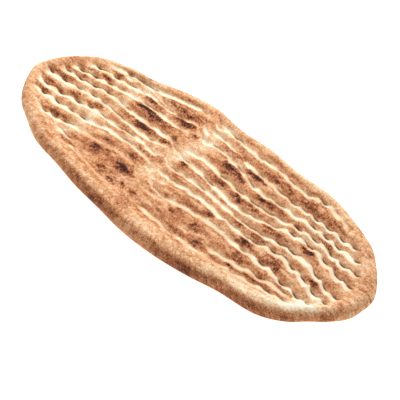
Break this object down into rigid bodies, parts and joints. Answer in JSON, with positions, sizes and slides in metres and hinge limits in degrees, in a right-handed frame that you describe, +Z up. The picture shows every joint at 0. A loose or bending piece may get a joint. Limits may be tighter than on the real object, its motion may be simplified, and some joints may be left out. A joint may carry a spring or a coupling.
{
  "type": "turkish flatbread",
  "caption": "Long oval baked flatbread with a puffed rim and a top pressed by fingertips into lengthwise dimpled furrows, toasted and scorched in spots.",
  "frame": {"origin": "on the flat base, under the middle of the loaf's bounding box", "axes": "+X along the loaf's length, +Y across it, +Z up out of the dimpled top crust"},
  "size_m": [0.5564, 0.2204, 0.0245],
  "materials": {
    "bread": "matt baked crust, dry and a little floury"
  },
  "bodies": {
    "root": {"bread": "bread"}
  },
  "joints": []
}
